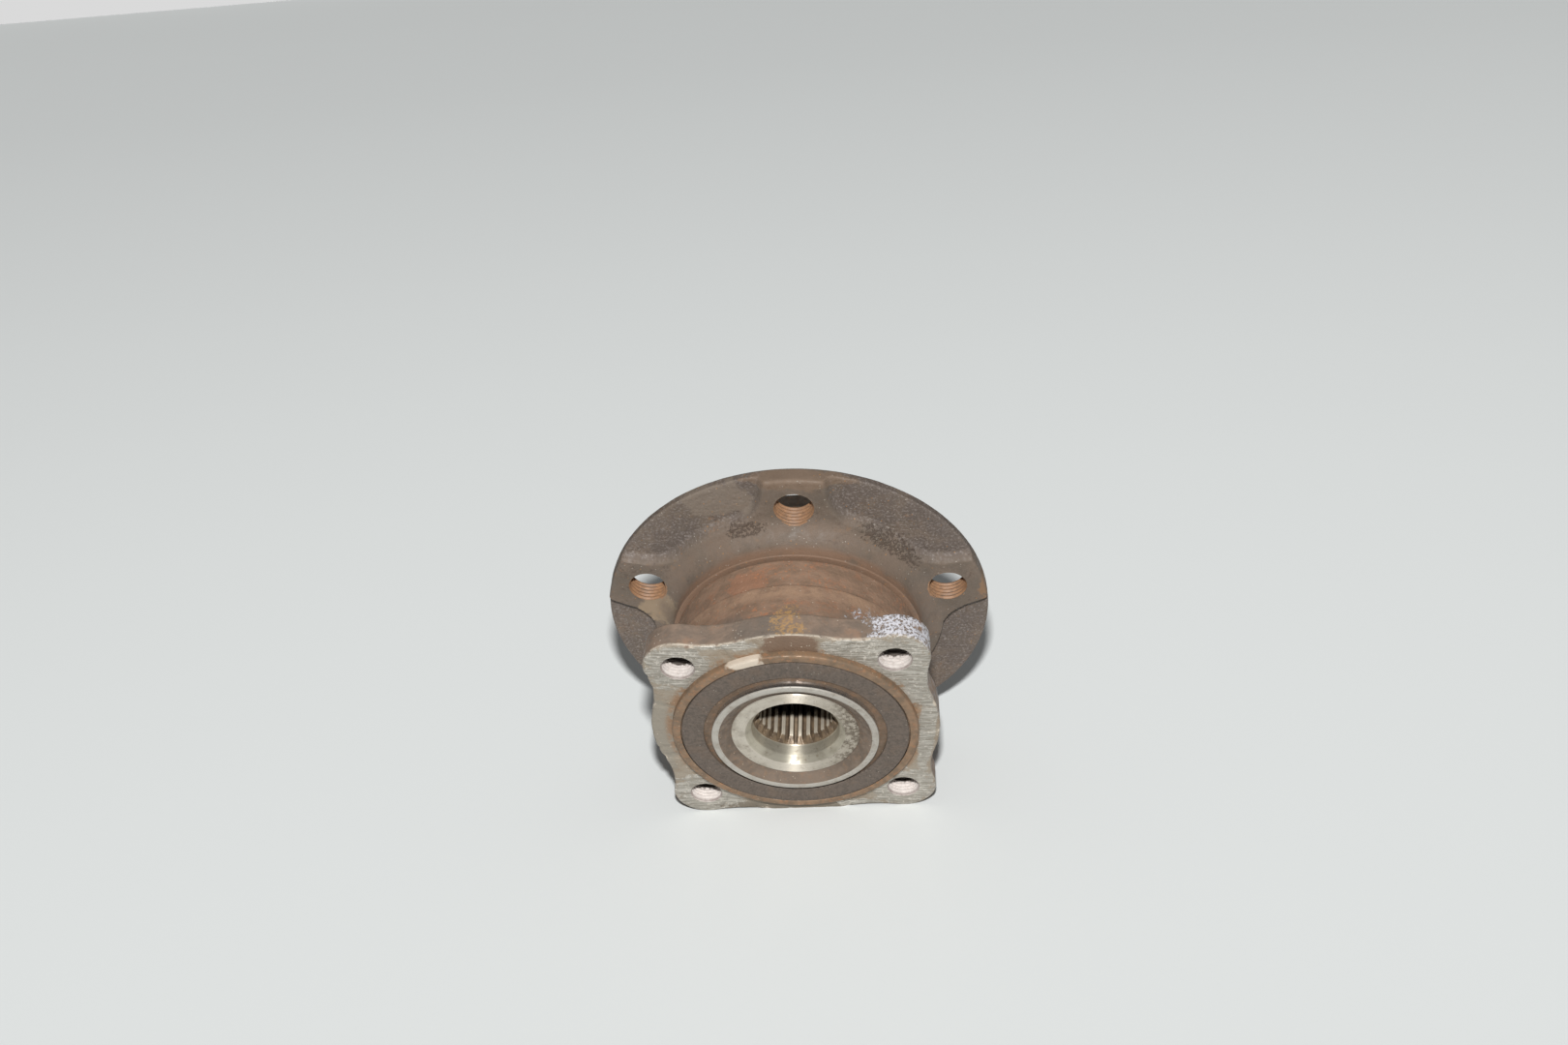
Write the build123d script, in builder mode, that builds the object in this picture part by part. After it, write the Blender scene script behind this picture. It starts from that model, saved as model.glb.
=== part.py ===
from build123d import *
from math import cos, pi, radians, sin, sqrt
import os

# Wheel hub bearing: a splined wheel hub turns on two rows of balls inside an outer ring
# that is bolted to the suspension knuckle by its square flange.
#
# Frame, millimetres: the spin axis is Y and +Y points to the wheel. The origin is the centre
# of the wheel's mounting face. A station is a distance inboard of that face, so y = -station.

# ---- wheel flange and its bolt holes ----
wheel_flange_d = 133.0
wheel_flange_thickness = 7.4
rim_chamfer = 1.4
rim_round = 1.5
wheel_bolt_rim_margin = 12.5
wheel_bolt_count = 5
wheel_bolt_drill_d = 12.4
wheel_bolt_chamfer = 0.5
wheel_bolt_first_angle = 92.0
pocket_depth = 3.2
pocket_inner_margin = 3.0
pocket_inner_half_angle = 22.0
pocket_rim_half_angle = 27.0
pocket_corner_r = 8.0
pocket_rim_round = 1.2

# ---- pilot, nut recess and the root of the flange ----
pilot_d = 65.0
pilot_length = 22.5
pilot_chamfer = 1.0
face_relief_d = 74.0
face_relief_depth = 0.6
nut_recess_d = 50.0
nut_seat_station = 3.0
nut_recess_chamfer = 1.0
root_overhang = 1.0
root_fillet = 8.5
hub_gap = 1.5
seal_face_fillet = 3.4

# ---- splined bore ----
spline_teeth = 28
spline_minor_d = 24.8
spline_tooth_height = 1.7
groove_mouth_share = 0.60
groove_floor_share = 0.25
spline_lead_length = 3.1
counterbore_step = 0.4
counterbore_length = 4.0
bore_mouth_flare = 2.0
bore_mouth_depth = 2.3

# ---- spindle and inner ring ----
seat_chamfer = 0.25
spindle_recess = 2.1
land_rise = 3.06
inner_ring_wall = 3.71
inner_ring_stand = 1.7
inner_ring_face_width = 2.15
inner_ring_cone_depth = 2.8
inner_ring_cone_step = 0.4
inner_ring_chamfer = 0.4

# ---- balls and cages ----
ball_d = 11.9
balls_per_row = 13
pitch_d = 60.6
race_clearance = 0.06
low_shoulder_rise = 0.42
high_shoulder_rise = 3.31
outboard_row_station = 31.4
row_spacing = 14.0
cage_shoulder_clearance = 0.4
cage_land_clearance = 0.85
cage_pocket_clearance = 0.25
cage_back_wall = 1.0
cage_prong_reach = 2.2
outboard_cage_gap = 0.2
inboard_cage_gap = 0.4

# ---- outer ring ----
ring_wall = 5.89
ring_land_step = 0.3
ring_land_length = 10.3
ring_end_chamfer = 1.0
knuckle_flange_thickness = 9.4
flange_web = 5.1
knuckle_bolt_margin = 5.9
lug_r = 11.2
waist_r = 32.0
flange_edge_chamfer = 0.8
flange_root_fillet = 2.0
knuckle_bolt_count = 4
knuckle_bolt_drill_d = 10.2
knuckle_countersink_depth = 1.0
square_turn = 5.5
spigot_wall = 2.85
spigot_length = 2.3
spigot_chamfer = 1.0

# ---- seals ----
inboard_seal_bore_rise = 1.19
inboard_seal_bore_length = 5.1
outboard_seal_bore_rise = 0.69
outboard_seal_bore_length = 4.6
seal_bore_chamfer = 0.4
seal_sheet = 0.6
seal_seat_gap = 0.2
web_clearance = 4.15
flinger_stand = 4.3
flinger_sleeve_length = 3.4
flinger_clearance = 0.4
encoder_inner_margin = 2.65
encoder_thickness = 0.9
encoder_clearance = 0.4
encoder_case_gap = 0.3
lip_clearance = 0.15
lip_thickness = 0.7
face_lip_spread = 2.0
outboard_case_inset = 0.4

# ---- modelling allowances ----
groove_overcut = 1.0
plane_tolerance = 0.01

# ---- radii: the raceways set every ring that touches a ball, and the rings set the seals ----
ball_r = ball_d / 2
race_r = ball_r + race_clearance
pitch_r = pitch_d / 2
inner_race_bottom_r = pitch_r - race_r
outer_race_bottom_r = pitch_r + race_r
land_r = inner_race_bottom_r + land_rise
low_inner_r = inner_race_bottom_r + low_shoulder_rise
low_outer_r = outer_race_bottom_r - low_shoulder_rise
high_outer_r = outer_race_bottom_r - high_shoulder_rise
seat_r = low_inner_r - inner_ring_wall
cage_outer_r = high_outer_r - cage_shoulder_clearance
cage_inner_r = land_r + cage_land_clearance
ring_body_r = outer_race_bottom_r + ring_wall
ring_land_r = ring_body_r - ring_land_step
inboard_bore_r = outer_race_bottom_r + inboard_seal_bore_rise
outboard_bore_r = outer_race_bottom_r + outboard_seal_bore_rise
spigot_r = inboard_bore_r + spigot_wall
flange_middle_r = ring_body_r + flange_web
knuckle_bolt_r = ring_body_r + knuckle_bolt_margin
rim_r = wheel_flange_d / 2
wheel_bolt_r = rim_r - wheel_bolt_rim_margin
root_r = ring_body_r + root_overhang
pocket_inner_r = wheel_bolt_r - pocket_inner_margin
spline_minor_r = spline_minor_d / 2
spline_major_r = spline_minor_r + spline_tooth_height
counterbore_r = spline_major_r + counterbore_step
bore_mouth_r = counterbore_r + bore_mouth_flare

# ---- stations: the rows set the seal seats, and the seats set both ends of the rings ----
inboard_row_station = outboard_row_station + row_spacing
spindle_shoulder_station = outboard_row_station + row_spacing / 2
cage_back_reach = ball_r + cage_pocket_clearance + cage_back_wall
outboard_seal_seat_station = outboard_row_station - cage_back_reach - outboard_cage_gap
inboard_seal_seat_station = inboard_row_station + cage_back_reach + inboard_cage_gap
ring_end_station = outboard_seal_seat_station - outboard_seal_bore_length
ring_land_end_station = ring_end_station + ring_land_length
spigot_end_station = inboard_seal_seat_station + inboard_seal_bore_length
flange_face_station = spigot_end_station - spigot_length
flange_back_station = flange_face_station - knuckle_flange_thickness
seal_face_station = ring_end_station - hub_gap
inner_ring_face_station = spigot_end_station + inner_ring_stand
inner_ring_cone_station = inner_ring_face_station - inner_ring_cone_depth
spindle_end_station = inner_ring_face_station - spindle_recess
bore_mouth_station = spindle_end_station - bore_mouth_depth
counterbore_station = bore_mouth_station - counterbore_length
spline_lead_station = counterbore_station - spline_lead_length
pocket_floor_station = wheel_flange_thickness - pocket_depth
first_lug_angle = 180 / knuckle_bolt_count + square_turn


def at(station, radius):
    """A point of a turned section: the section lies in the XY plane, with the radius along X."""
    return (radius, -station)


def plane_at(station):
    """The plane across the axis at a station, seen from inboard: X to the right, Z up."""
    return Plane.XZ.offset(station)


def race_reach(radius):
    """Axial distance from a row's centre to where its raceway meets a shoulder of this radius."""
    return sqrt(race_r**2 - (pitch_r - radius) ** 2)


def turned_ring(section_points):
    """Revolve one closed polygon of (station, radius) pairs about the spin axis."""
    with BuildSketch(Plane.XY) as section:
        with BuildLine():
            Polyline([at(station, radius) for station, radius in section_points], close=True)
        make_face()
    revolve(section.sketch, axis=Axis.Y)


def flange_side(builder, station):
    """The flat face across the axis at a station, at the edge of the square flange's middle."""
    return builder.faces().filter_by(Axis.Y).sort_by_distance((flange_middle_r, -station, 0))[0]


def finish_part(builder, name):
    builder.part.label = name
    export_step(builder.part, f"parts/{name}.step")


os.makedirs("parts", exist_ok=True)

# ---- wheel hub: flange, pilot, splined spindle and the outboard inner raceway in one forging ----
with BuildPart() as wheel_hub:
    with BuildSketch(Plane.XY) as hub_section:
        with BuildLine():
            outside = Polyline(
                at(nut_seat_station, spline_minor_r),
                at(nut_seat_station, nut_recess_d / 2),
                at(nut_recess_chamfer - pilot_length, nut_recess_d / 2),
                at(-pilot_length, nut_recess_d / 2 + nut_recess_chamfer),
                at(-pilot_length, pilot_d / 2 - pilot_chamfer),
                at(pilot_chamfer - pilot_length, pilot_d / 2),
                at(face_relief_depth, pilot_d / 2),
                at(face_relief_depth, face_relief_d / 2),
                at(0, face_relief_d / 2),
                at(0, rim_r - rim_chamfer),
                at(rim_chamfer, rim_r),
                at(wheel_flange_thickness, rim_r),
                at(wheel_flange_thickness, root_r),
                at(seal_face_station, root_r),
                at(seal_face_station, land_r),
                at(outboard_row_station - race_reach(land_r), land_r),
            )
            raceway = ThreePointArc(
                outside @ 1,
                at(outboard_row_station, inner_race_bottom_r),
                at(outboard_row_station + race_reach(low_inner_r), low_inner_r),
            )
            Polyline(
                raceway @ 1,
                at(spindle_shoulder_station, low_inner_r),
                at(spindle_shoulder_station, seat_r),
                at(spindle_end_station - seat_chamfer, seat_r),
                at(spindle_end_station, seat_r - seat_chamfer),
                at(spindle_end_station, bore_mouth_r),
                at(bore_mouth_station, counterbore_r),
                at(counterbore_station, counterbore_r),
                at(spline_lead_station, spline_minor_r),
                at(nut_seat_station, spline_minor_r),
            )
        make_face()
        rounded_corners = (
            (seal_face_station, land_r, seal_face_fillet),
            (wheel_flange_thickness, root_r, root_fillet),
            (wheel_flange_thickness, rim_r, rim_round),
        )
        for station, radius, rounding in rounded_corners:
            fillet(hub_section.vertices().sort_by_distance(at(station, radius))[0], rounding)
    revolve(axis=Axis.Y)

    with BuildSketch(Plane.XY, mode=Mode.PRIVATE) as pocket_outline:
        with BuildLine():
            inner_arc = CenterArc(
                (0, 0), pocket_inner_r, -pocket_inner_half_angle, 2 * pocket_inner_half_angle
            )
            outer_arc = CenterArc(
                (0, 0), rim_r + rim_chamfer, -pocket_rim_half_angle, 2 * pocket_rim_half_angle
            )
            Line(inner_arc @ 0, outer_arc @ 0)
            Line(inner_arc @ 1, outer_arc @ 1)
        make_face()
        fillet(pocket_outline.vertices().sort_by(Axis.X)[:2], pocket_corner_r)
    half_pitch = 180 / wheel_bolt_count
    with BuildSketch(plane_at(pocket_floor_station)):
        with PolarLocations(0, wheel_bolt_count, start_angle=wheel_bolt_first_angle + half_pitch):
            add(pocket_outline.sketch)
    extrude(amount=seal_face_station - pocket_floor_station, mode=Mode.SUBTRACT)
    floor_edges = wheel_hub.edges().filter_by_position(
        Axis.Y, -pocket_floor_station - plane_tolerance, -pocket_floor_station + plane_tolerance
    )
    rim_edges = floor_edges.filter_by(lambda edge: (edge @ 0.5).length > rim_r - plane_tolerance)
    fillet(rim_edges, pocket_rim_round)

    with BuildSketch(plane_at(0)):
        with PolarLocations(wheel_bolt_r, wheel_bolt_count, start_angle=wheel_bolt_first_angle):
            Circle(wheel_bolt_drill_d / 2)
    extrude(amount=seal_face_station, mode=Mode.SUBTRACT)
    mounting_rims = wheel_hub.edges().filter_by(GeomType.CIRCLE).filter_by_position(
        Axis.Y, -plane_tolerance, plane_tolerance
    ).filter_by(lambda edge: abs(edge.radius - wheel_bolt_drill_d / 2) < plane_tolerance)
    chamfer(mounting_rims, wheel_bolt_chamfer)

    groove_mouth_half = pi * spline_minor_r * groove_mouth_share / spline_teeth
    groove_floor_half = pi * spline_major_r * groove_floor_share / spline_teeth
    with BuildSketch(plane_at(nut_seat_station)):
        with PolarLocations(0, spline_teeth):
            Polygon(
                (spline_minor_r - groove_overcut, -groove_mouth_half),
                (spline_minor_r, -groove_mouth_half),
                (spline_major_r, -groove_floor_half),
                (spline_major_r, groove_floor_half),
                (spline_minor_r, groove_mouth_half),
                (spline_minor_r - groove_overcut, groove_mouth_half),
                align=None,
            )
    extrude(amount=counterbore_station - nut_seat_station, mode=Mode.SUBTRACT)
finish_part(wheel_hub, "wheel_hub")

# ---- inner ring: pressed on the spindle, it carries the inboard inner raceway ----
with BuildPart() as inner_ring:
    with BuildSketch(Plane.XY):
        with BuildLine():
            ring_outside = Polyline(
                at(spindle_shoulder_station, seat_r),
                at(spindle_shoulder_station, low_inner_r),
                at(inboard_row_station - race_reach(low_inner_r), low_inner_r),
            )
            ring_raceway = ThreePointArc(
                ring_outside @ 1,
                at(inboard_row_station, inner_race_bottom_r),
                at(inboard_row_station + race_reach(land_r), land_r),
            )
            Polyline(
                ring_raceway @ 1,
                at(inner_ring_face_station - inner_ring_chamfer, land_r),
                at(inner_ring_face_station, land_r - inner_ring_chamfer),
                at(inner_ring_face_station, land_r - inner_ring_face_width),
                at(inner_ring_cone_station, seat_r + inner_ring_cone_step),
                at(inner_ring_cone_station, seat_r),
                at(spindle_shoulder_station, seat_r),
            )
        make_face()
    revolve(axis=Axis.Y)
finish_part(inner_ring, "inner_ring")

# ---- outer ring: turned body, square knuckle flange, spigot and both outer raceways ----
with BuildPart() as outer_ring:
    turned_ring(
        [
            (ring_end_station, 0),
            (ring_end_station, ring_land_r - ring_end_chamfer),
            (ring_end_station + ring_end_chamfer, ring_land_r),
            (ring_land_end_station, ring_land_r),
            (ring_land_end_station, ring_body_r),
            (flange_face_station, ring_body_r),
            (flange_face_station, spigot_r),
            (spigot_end_station - spigot_chamfer, spigot_r),
            (spigot_end_station, spigot_r - spigot_chamfer),
            (spigot_end_station, 0),
        ]
    )
    with BuildSketch(plane_at(flange_back_station)) as flange_outline:
        Circle(flange_middle_r)
        with PolarLocations(knuckle_bolt_r, knuckle_bolt_count, start_angle=first_lug_angle):
            Circle(lug_r)
        fillet(flange_outline.vertices(), waist_r)
    extrude(amount=knuckle_flange_thickness)
    chamfer(flange_side(outer_ring, flange_face_station).outer_wire().edges(), flange_edge_chamfer)
    chamfer(flange_side(outer_ring, flange_back_station).outer_wire().edges(), flange_edge_chamfer)
    fillet(flange_side(outer_ring, flange_back_station).inner_wires()[0].edges(), flange_root_fillet)

    with Locations(plane_at(flange_face_station)):
        with PolarLocations(knuckle_bolt_r, knuckle_bolt_count, start_angle=first_lug_angle):
            CounterSinkHole(
                knuckle_bolt_drill_d / 2,
                knuckle_bolt_drill_d / 2 + knuckle_countersink_depth,
                depth=knuckle_flange_thickness,
                counter_sink_angle=90,
            )

    with BuildSketch(Plane.XY):
        with BuildLine():
            mouth = Polyline(
                at(ring_end_station, 0),
                at(ring_end_station, outboard_bore_r + seal_bore_chamfer),
                at(ring_end_station + seal_bore_chamfer, outboard_bore_r),
                at(outboard_seal_seat_station, outboard_bore_r),
                at(outboard_seal_seat_station, low_outer_r),
                at(outboard_row_station - race_reach(low_outer_r), low_outer_r),
            )
            outboard_race = ThreePointArc(
                mouth @ 1,
                at(outboard_row_station, outer_race_bottom_r),
                at(outboard_row_station + race_reach(high_outer_r), high_outer_r),
            )
            middle = Line(
                outboard_race @ 1,
                at(inboard_row_station - race_reach(high_outer_r), high_outer_r),
            )
            inboard_race = ThreePointArc(
                middle @ 1,
                at(inboard_row_station, outer_race_bottom_r),
                at(inboard_row_station + race_reach(low_outer_r), low_outer_r),
            )
            Polyline(
                inboard_race @ 1,
                at(inboard_seal_seat_station, low_outer_r),
                at(inboard_seal_seat_station, inboard_bore_r),
                at(spigot_end_station - seal_bore_chamfer, inboard_bore_r),
                at(spigot_end_station, inboard_bore_r + seal_bore_chamfer),
                at(spigot_end_station, 0),
                at(ring_end_station, 0),
            )
        make_face()
    revolve(axis=Axis.Y, mode=Mode.SUBTRACT)
finish_part(outer_ring, "outer_ring")


# ---- the two rows: a snap cage and its balls, mirrored about the middle of the bearing ----
def ball_row(name, row_station, outward):
    """A row's cage and balls. outward is -1 where the cage's back faces outboard, +1 inboard."""
    pocket_r = ball_r + cage_pocket_clearance
    back = row_station + outward * (pocket_r + cage_back_wall)
    front = row_station - outward * cage_prong_reach
    with BuildPart() as cage:
        turned_ring(
            [
                (back, cage_inner_r),
                (back, cage_outer_r),
                (front, cage_outer_r),
                (front, cage_inner_r),
            ]
        )
        with Locations(plane_at(row_station)):
            with PolarLocations(pitch_r, balls_per_row):
                Sphere(pocket_r, mode=Mode.SUBTRACT)
    finish_part(cage, f"{name}_cage")
    for index in range(balls_per_row):
        angle = radians(360 * index / balls_per_row)
        centre = plane_at(row_station).from_local_coords((pitch_r * cos(angle), pitch_r * sin(angle), 0))
        with BuildPart(Plane(origin=centre)) as ball:
            Sphere(ball_r)
        finish_part(ball, f"{name}_ball_{index + 1:02d}")


ball_row("outboard", outboard_row_station, -1)
ball_row("inboard", inboard_row_station, 1)

# ---- inboard seal: a case in the outer ring, a flinger and speed encoder on the inner ring ----
case_r = inboard_bore_r - seal_sheet
web_r = land_r + web_clearance
web_station = inboard_seal_seat_station + seal_seat_gap
flinger_flange_station = inboard_seal_seat_station + flinger_stand
case_end_station = flinger_flange_station - encoder_case_gap
with BuildPart() as inboard_seal_case:
    turned_ring(
        [
            (web_station, web_r),
            (web_station, inboard_bore_r),
            (case_end_station, inboard_bore_r),
            (case_end_station, case_r),
            (web_station + seal_sheet, case_r),
            (web_station + seal_sheet, web_r),
        ]
    )
finish_part(inboard_seal_case, "inboard_seal_case")

sleeve_r = land_r + seal_sheet
flinger_back_station = flinger_flange_station - seal_sheet
flinger_r = case_r - flinger_clearance
with BuildPart() as seal_flinger:
    turned_ring(
        [
            (flinger_flange_station, land_r),
            (flinger_flange_station, flinger_r),
            (flinger_back_station, flinger_r),
            (flinger_back_station, sleeve_r),
            (flinger_back_station - flinger_sleeve_length, sleeve_r),
            (flinger_back_station - flinger_sleeve_length, land_r),
        ]
    )
finish_part(seal_flinger, "seal_flinger")

with BuildPart() as encoder_ring:
    turned_ring(
        [
            (flinger_flange_station, land_r + encoder_inner_margin),
            (flinger_flange_station, inboard_bore_r - encoder_clearance),
            (flinger_flange_station + encoder_thickness, inboard_bore_r - encoder_clearance),
            (flinger_flange_station + encoder_thickness, land_r + encoder_inner_margin),
        ]
    )
finish_part(encoder_ring, "encoder_ring")

# Two lips bonded to the case's web: one runs on the sleeve, one on the back of the flinger.
lip_tip_r = sleeve_r + lip_clearance
lip_face_station = flinger_back_station - lip_clearance
with BuildPart() as inboard_seal_lip:
    turned_ring(
        [
            (web_station, web_r),
            (web_station, web_r - lip_thickness),
            (web_station + seal_sheet, lip_tip_r),
            (web_station + seal_sheet + lip_thickness, lip_tip_r),
            (web_station + 2 * lip_thickness, web_r - lip_thickness),
            (lip_face_station, web_r + lip_thickness),
            (lip_face_station, web_r + 2 * lip_thickness),
            (web_station + seal_sheet + lip_thickness, web_r + lip_thickness),
            (web_station + seal_sheet, web_r + lip_thickness),
            (web_station + seal_sheet, web_r),
        ]
    )
finish_part(inboard_seal_lip, "inboard_seal_lip")

# ---- outboard seal: a case in the outer ring with lips that run on the hub ----
outboard_web_station = ring_end_station + outboard_case_inset
outboard_case_end_station = outboard_seal_seat_station - seal_seat_gap
outboard_case_r = outboard_bore_r - seal_sheet
with BuildPart() as outboard_seal_case:
    turned_ring(
        [
            (outboard_web_station, web_r),
            (outboard_web_station, outboard_bore_r),
            (outboard_case_end_station, outboard_bore_r),
            (outboard_case_end_station, outboard_case_r),
            (outboard_web_station + seal_sheet, outboard_case_r),
            (outboard_web_station + seal_sheet, web_r),
        ]
    )
finish_part(outboard_seal_case, "outboard_seal_case")

face_lip_station = seal_face_station + lip_clearance
face_lip_r = web_r + face_lip_spread
land_lip_r = land_r + lip_clearance
with BuildPart() as outboard_seal_lip:
    turned_ring(
        [
            (outboard_web_station + seal_sheet, web_r),
            (outboard_web_station + seal_sheet + lip_thickness, web_r - lip_thickness),
            (outboard_seal_seat_station - lip_thickness, land_lip_r + lip_thickness),
            (outboard_seal_seat_station - lip_thickness, land_lip_r),
            (outboard_web_station + 2 * lip_thickness, land_lip_r + lip_thickness),
            (outboard_web_station, web_r - lip_thickness),
            (face_lip_station, face_lip_r),
            (face_lip_station, face_lip_r + lip_thickness),
            (outboard_web_station, web_r + lip_thickness),
            (outboard_web_station, web_r),
        ]
    )
finish_part(outboard_seal_lip, "outboard_seal_lip")
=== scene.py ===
from math import asin, atan2, cos, degrees, hypot, pi, radians, sin, sqrt

import bmesh
import bpy
from mathutils import Matrix, Vector, noise


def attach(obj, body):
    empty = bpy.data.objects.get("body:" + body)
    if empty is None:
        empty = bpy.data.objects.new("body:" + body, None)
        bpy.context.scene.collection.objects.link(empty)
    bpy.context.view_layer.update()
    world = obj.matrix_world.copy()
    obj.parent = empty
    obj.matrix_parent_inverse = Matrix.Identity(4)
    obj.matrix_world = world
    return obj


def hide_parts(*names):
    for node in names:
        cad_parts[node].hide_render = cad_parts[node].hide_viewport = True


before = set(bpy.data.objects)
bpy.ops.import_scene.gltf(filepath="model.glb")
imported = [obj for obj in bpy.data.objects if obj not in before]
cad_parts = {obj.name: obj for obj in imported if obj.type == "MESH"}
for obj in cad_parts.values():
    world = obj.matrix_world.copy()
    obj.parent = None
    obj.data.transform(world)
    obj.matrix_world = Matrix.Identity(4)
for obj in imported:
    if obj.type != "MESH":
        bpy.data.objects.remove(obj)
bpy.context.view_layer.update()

# Millimetres, in the part's frame: the spin axis is Y, and a station is a distance inboard of the
# wheel's mounting face, so y = -station. Angles turn anticlockwise as seen from inboard.
MM = 0.001

# Wheel flange
RIM_R = 66.5
FLANGE_THICKNESS = 7.4
PILOT_R = 32.5
PILOT_LENGTH = 22.5
NUT_RECESS_R = 25.0
NUT_SEAT = 3.0
FACE_RELIEF_R = 37.6
FACE_RELIEF = 0.6
RIM_CHAMFER = 1.4
RIM_ROUND = 1.5
POCKET_FLOOR = 4.2
POCKET_INNER_R = 51.0
POCKET_INNER_HALF = 22.0
POCKET_RIM_HALF = 27.0
POCKET_CORNER_R = 8.0
POCKET_WALL_RUN = (0.5, 3.2)
WHEEL_BOLTS = 5
WHEEL_BOLT_R = 54.0
WHEEL_BOLT_FIRST = 92.0
WHEEL_THREAD = (6.2, 6.65, 1.5)
ROOT_R = 43.2
ROOT_FILLET = 8.5
SEAL_FACE = 17.9

# Spindle, inner ring and spline
SPLINE_TEETH = 28
SPLINE_MINOR_R = 12.4
SPLINE_MAJOR_R = 14.1
SPLINE_RUNOUT = 48.3
LEAD_STEP = 51.4
LEAD_R = 14.5
LEAD_MOUTH = 55.4
LEAD_MOUTH_R = 16.5
LAND_R = 27.35
SEAT_R = 21.0
SPINDLE_SHOULDER = 38.4
SPINDLE_END = 57.7
INNER_RING_FACE = 59.8
COUNTERSINK_R = 25.2
COUNTERSINK_FLOOR = 57.0
PITCH_R = 30.3
RACE_R = 6.01
OUTBOARD_ROW = 31.4
INBOARD_ROW = 45.4
LOW_INNER_R = 24.71

# Outer ring
RING_END = 18.7
RING_BODY_R = 42.2
RING_LAND_R = 41.9
RING_LAND_END = 29.7
PLATE_BACK = 46.4
PLATE_FACE = 55.8
PLATE_MIDDLE_R = 47.3
PLATE_HOLE_R = 39.0
PLATE_EDGE_R = 0.75
LUG_R = 11.2
LUG_CIRCLE_R = 48.1
WAIST_R = 32.0
LUG_FIRST = 50.5
KNUCKLE_BOLTS = 4
KNUCKLE_THREAD = (5.1, 5.6, 1.25)
KNUCKLE_CHAMFER = 0.95
SPIGOT_R = 40.35
SPIGOT_END = 58.1
HIGH_OUTER_R = 33.0
LOW_OUTER_R = 35.89
INBOARD_BORE_R = 37.5
INBOARD_SEAL_STOP = 53.0
OUTBOARD_BORE_R = 37.0
OUTBOARD_SEAL_STOP = 24.0

# Encoder ring
ENCODER_BACK = 57.3
ENCODER_FACE = 58.2
ENCODER_INNER_R = 30.0
ENCODER_OUTER_R = 37.1

# How finely the round pieces are divided
RING_STEPS = 384
SMALL_RING_STEPS = 256
HOLE_STEPS = 56
PLATE_STEPS = 480

# Camera, in millimetres
CAMERA_MM = (4.01, -343.2, 385.3)
VIEW_FORWARD = (-0.01906, 0.70512, -0.70883)
VIEW_UP = (-0.01915, 0.70857, 0.70538)
SENSOR_WIDTH = 36.0
LENS_PER_SENSOR = 1500 / 1620
TABLE_HALF = 60.0

# Light: the lamp's place beside the camera and its size in millimetres, its strength, the fill from
# overhead, and what the camera sees past the table
LAMP_ABOVE = 60.0
LAMP_LEFT = 3.0
LAMP_R = 11.0
LAMP_WATTS = 103.0
SKY_FILL = 0.24
SKY_SEEN = 0.70


# ---- meshes

def place(station, radius, angle=0.0):
    """A point of the part, in metres."""
    turn = radians(angle)
    return Vector((radius * cos(turn), -station, radius * sin(turn))) * MM


def polar(co):
    """Station, radius and angle of a point that is in metres."""
    return -co.y / MM, hypot(co.x, co.z) / MM, degrees(atan2(co.z, co.x))


def smooth_step(low, high, value):
    t = min(1.0, max(0.0, (value - low) / (high - low)))
    return t * t * (3 - 2 * t)


def softened(corners, steps=4):
    """A closed section from (station, radius, rounding) corners, each rounded off."""
    section = []
    for i, (station, radius, rounding) in enumerate(corners):
        corner = Vector((station, radius))
        before = Vector(corners[i - 1][:2])
        after = Vector(corners[(i + 1) % len(corners)][:2])
        if not rounding:
            section.append(corner)
            continue
        start = corner + (before - corner).normalized() * rounding
        end = corner + (after - corner).normalized() * rounding
        for k in range(steps + 1):
            t = k / steps
            section.append(start * (1 - t) ** 2 + corner * 2 * t * (1 - t) + end * t * t)
    return section


def divided(section, longest, wanted):
    """The section with its long runs divided where wanted(station, radius) says so."""
    fine = []
    for i, point in enumerate(section):
        fine.append(point)
        after = section[(i + 1) % len(section)]
        middle = (point + after) / 2
        if wanted(middle.x, middle.y):
            parts = int((after - point).length / longest) + 1
            fine += [point.lerp(after, k / parts) for k in range(1, parts)]
    return fine


def race(row, start_r, end_r, side, steps=10):
    """Points of a raceway's arc from one shoulder's radius to the other's, side -1 inner, +1 outer."""
    def angle(radius, toward):
        return toward * asin(min(1.0, sqrt(RACE_R**2 - (radius - PITCH_R) ** 2) / RACE_R))
    first = angle(start_r, -1)
    last = angle(end_r, 1)
    points = []
    for k in range(steps + 1):
        turn = first + (last - first) * k / steps
        points.append((row + RACE_R * sin(turn), PITCH_R + side * RACE_R * cos(turn), 0))
    return points


def spun(section, steps, closed=True, merge=0.0005):
    """A bmesh of the section spun about the spin axis. Merge is the distance of points that become one."""
    mesh = bmesh.new()
    line = [mesh.verts.new(place(p.x, p.y)) for p in section]
    for a, b in zip(line, line[1:] + line[:1] * closed):
        mesh.edges.new((a, b))
    bmesh.ops.spin(mesh, geom=mesh.verts[:] + mesh.edges[:], cent=(0, 0, 0), axis=(0, 1, 0),
                   angle=2 * pi, steps=steps, use_merge=True)
    bmesh.ops.remove_doubles(mesh, verts=mesh.verts, dist=merge * MM)
    bmesh.ops.recalc_face_normals(mesh, faces=mesh.faces)
    return mesh


def piece_from(mesh, name):
    data = bpy.data.meshes.new(name)
    mesh.to_mesh(data)
    mesh.free()
    piece = bpy.data.objects.new(name, data)
    bpy.context.scene.collection.objects.link(piece)
    return piece


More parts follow.
